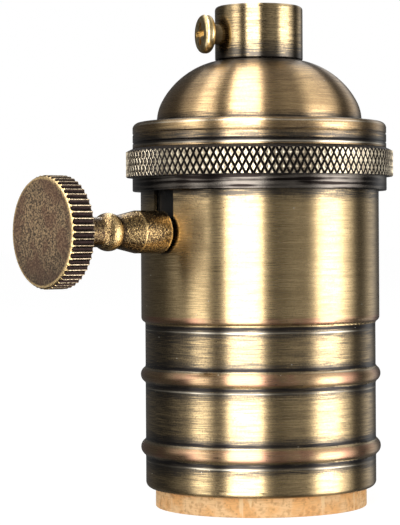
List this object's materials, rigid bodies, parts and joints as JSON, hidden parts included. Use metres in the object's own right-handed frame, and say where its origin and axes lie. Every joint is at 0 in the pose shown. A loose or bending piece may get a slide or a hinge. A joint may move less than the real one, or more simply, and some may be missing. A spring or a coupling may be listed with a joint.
{
  "type": "turn knob lamp holder",
  "caption": "Cylindrical brass lamp holder with beaded shell, knurled ring nut, domed cap, threaded cable neck and a fluted side knob that turns its switch.",
  "frame": {"origin": "on the holder's axis, in the plane of the liner's rim that it stands on", "axes": "+Z along the holder's axis towards the cable neck; the switch knob points along -X"},
  "size_m": [0.0587, 0.0402, 0.0748],
  "materials": {
    "antique_brass": "horizontally brushed brass, oiled to brown and black beside its edges and beads",
    "aged_brass": "darkened brass with a fine grain, worn golden along its ridges",
    "bright_brass": "bright plated brass",
    "strip_brass": "plain stamped brass strip",
    "spring_bronze": "plain phosphor bronze",
    "plated_steel": "zinc-plated steel",
    "black_moulding": "black phenolic moulding",
    "liner_board": "tan insulating board with a fibrous grain"
  },
  "bodies": {
    "holder": {"outer_shell": "antique_brass", "insulating_liner": "liner_board", "core_base": "black_moulding", "core_cover": "black_moulding", "core_screws": "plated_steel", "detent_spring": "spring_bronze", "line_terminal": "strip_brass", "neutral_terminal": "strip_brass", "terminal_screws": "bright_brass", "load_contact": "strip_brass", "contact_rivet": "strip_brass", "centre_contact": "spring_bronze", "screw_shell": "strip_brass", "shell_screws": "plated_steel"},
    "knob": {"switch_knob": "aged_brass", "switch_shaft": "plated_steel", "retaining_ring": "plated_steel", "switch_rotor": "black_moulding", "contact_band": "strip_brass"},
    "ring": {"lock_ring": "antique_brass"},
    "cap": {"dome_cap": "antique_brass", "neck_bush": "antique_brass"},
    "grip_screw": {"neck_screw": "bright_brass"}
  },
  "joints": [
    {"name": "knob_turn", "type": "hinge", "parent": "holder", "child": "knob", "pos_m": [0, 0, 0.04105], "axis": [-1, 0, 0], "continuous": true},
    {"name": "ring_turn", "type": "hinge", "parent": "holder", "child": "ring", "pos_m": [0, 0, 0.05], "axis": [0, 0, -1], "range_deg": [0, 1170]},
    {"name": "cap_lift", "type": "slide", "parent": "holder", "child": "cap", "axis": [0, 0, 1], "range_m": [0, 0.00325]},
    {"name": "grip_screw_travel", "type": "slide", "parent": "cap", "child": "grip_screw", "axis": [0.9613, -0.2756, 0], "range_m": [0, 0.001]}
  ],
  "couplings": [
    {"joint": "cap_lift", "follows": "ring_turn", "m_per_rad": 0.00015915}
  ]
}
